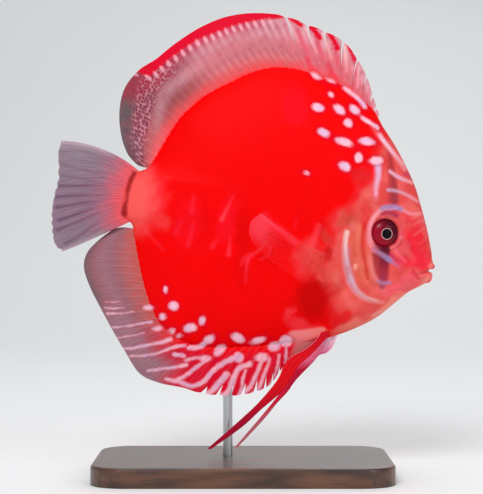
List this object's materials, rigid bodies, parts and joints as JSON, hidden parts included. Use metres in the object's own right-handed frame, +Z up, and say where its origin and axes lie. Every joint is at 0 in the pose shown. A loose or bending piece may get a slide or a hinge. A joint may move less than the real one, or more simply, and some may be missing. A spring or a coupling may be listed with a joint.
{
  "type": "discus fish display model",
  "caption": "Life-size red discus fish, swimming with its head a little down, held over a flat base by one rod; fins with raised rays.",
  "frame": {"origin": "on the floor under the middle of the whole model", "axes": "+X the way the fish faces, +Y its left side, +Z up"},
  "size_m": [0.162, 0.078, 0.1948],
  "materials": {
    "skin": "wet-looking painted skin, saturated red with pearl spots and pale stripes",
    "fin": "satin membrane, pink with a crimson margin",
    "tail_fin": "satin grey-lilac membrane with dark streaks",
    "clear_fin": "thin translucent membrane",
    "red_fin": "satin red membrane",
    "eye": "polished, crimson iris and black pupil under a clear dome",
    "stand_wood": "dark satin-lacquered walnut",
    "stand_steel": "brushed"
  },
  "bodies": {
    "root": {"head": "skin", "lower_jaw": "skin", "gill_cover_right": "skin", "gill_cover_left": "skin", "torso": "skin", "peduncle": "skin", "eye_right": "eye", "eye_left": "eye", "dorsal_fin_spiny": "fin", "dorsal_fin_soft": "fin", "anal_fin_spiny": "fin", "anal_fin_soft": "fin", "caudal_fin": "tail_fin", "pectoral_fin_right": "clear_fin", "pectoral_fin_left": "clear_fin", "pelvic_fin_right": "red_fin", "pelvic_fin_left": "fin", "stand_base": "stand_wood", "stand_rod": "stand_steel"}
  },
  "joints": []
}
